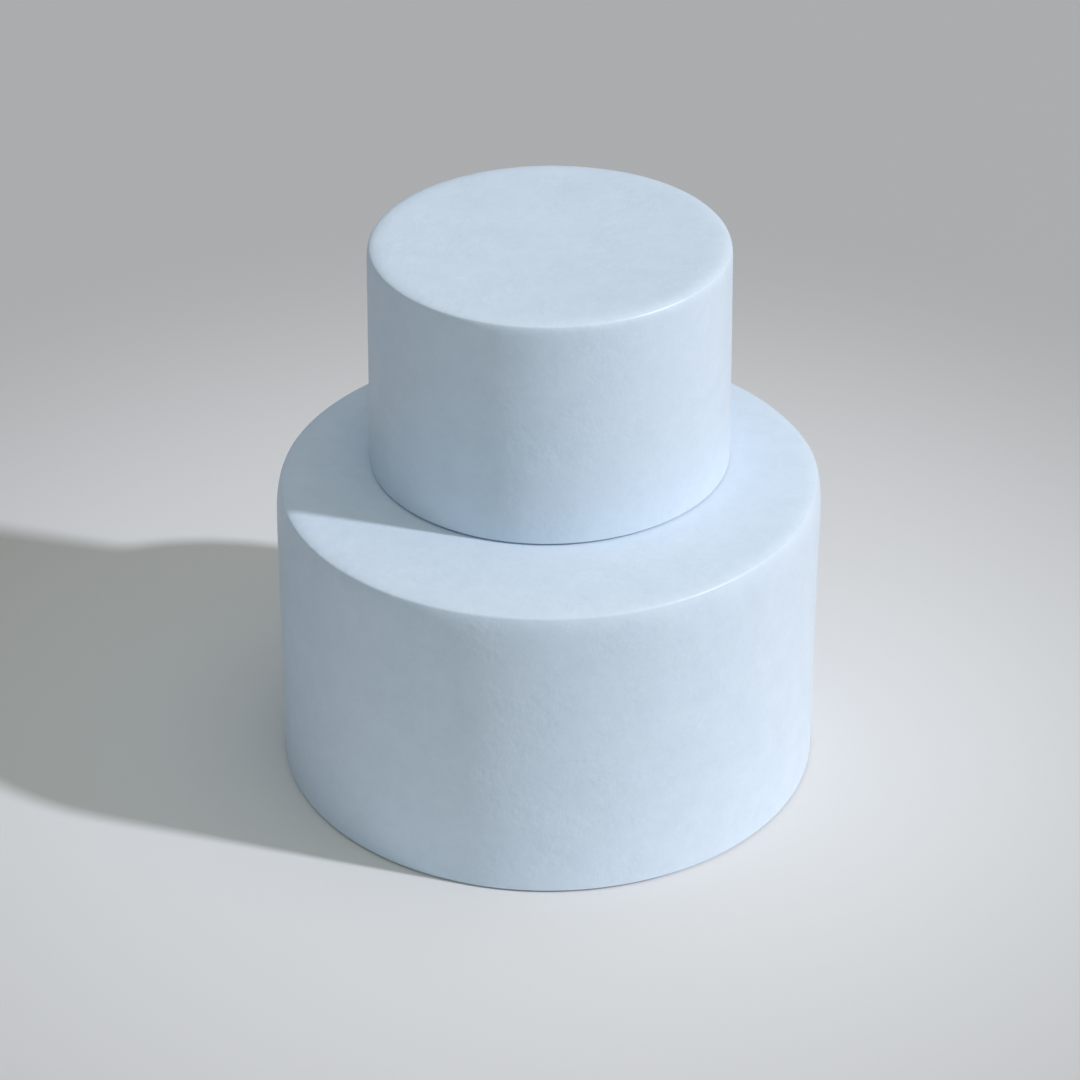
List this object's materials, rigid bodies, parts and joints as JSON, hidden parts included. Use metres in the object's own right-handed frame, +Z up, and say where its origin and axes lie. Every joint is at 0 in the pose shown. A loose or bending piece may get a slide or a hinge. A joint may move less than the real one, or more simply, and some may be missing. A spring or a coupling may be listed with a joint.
{
  "type": "two-tier cake",
  "caption": "Uncut round cake in stacked tiers, covered in smooth pale-blue sugar paste with softly rolled edges; stands on its flat base.",
  "frame": {"origin": "middle of the bottom tier's flat underside, where the cake rests", "axes": "+Z up through the tiers; -Y towards the front, where the ledge between the tiers is widest; +X to the right seen from the front"},
  "size_m": [0.1554, 0.1554, 0.1571],
  "materials": {
    "bottom_paste": "smooth matt sugar paste, pale blue",
    "top_paste": "smooth matt sugar paste, pale blue"
  },
  "bodies": {
    "root": {"bottom_tier": "bottom_paste", "top_tier": "top_paste"}
  },
  "joints": []
}
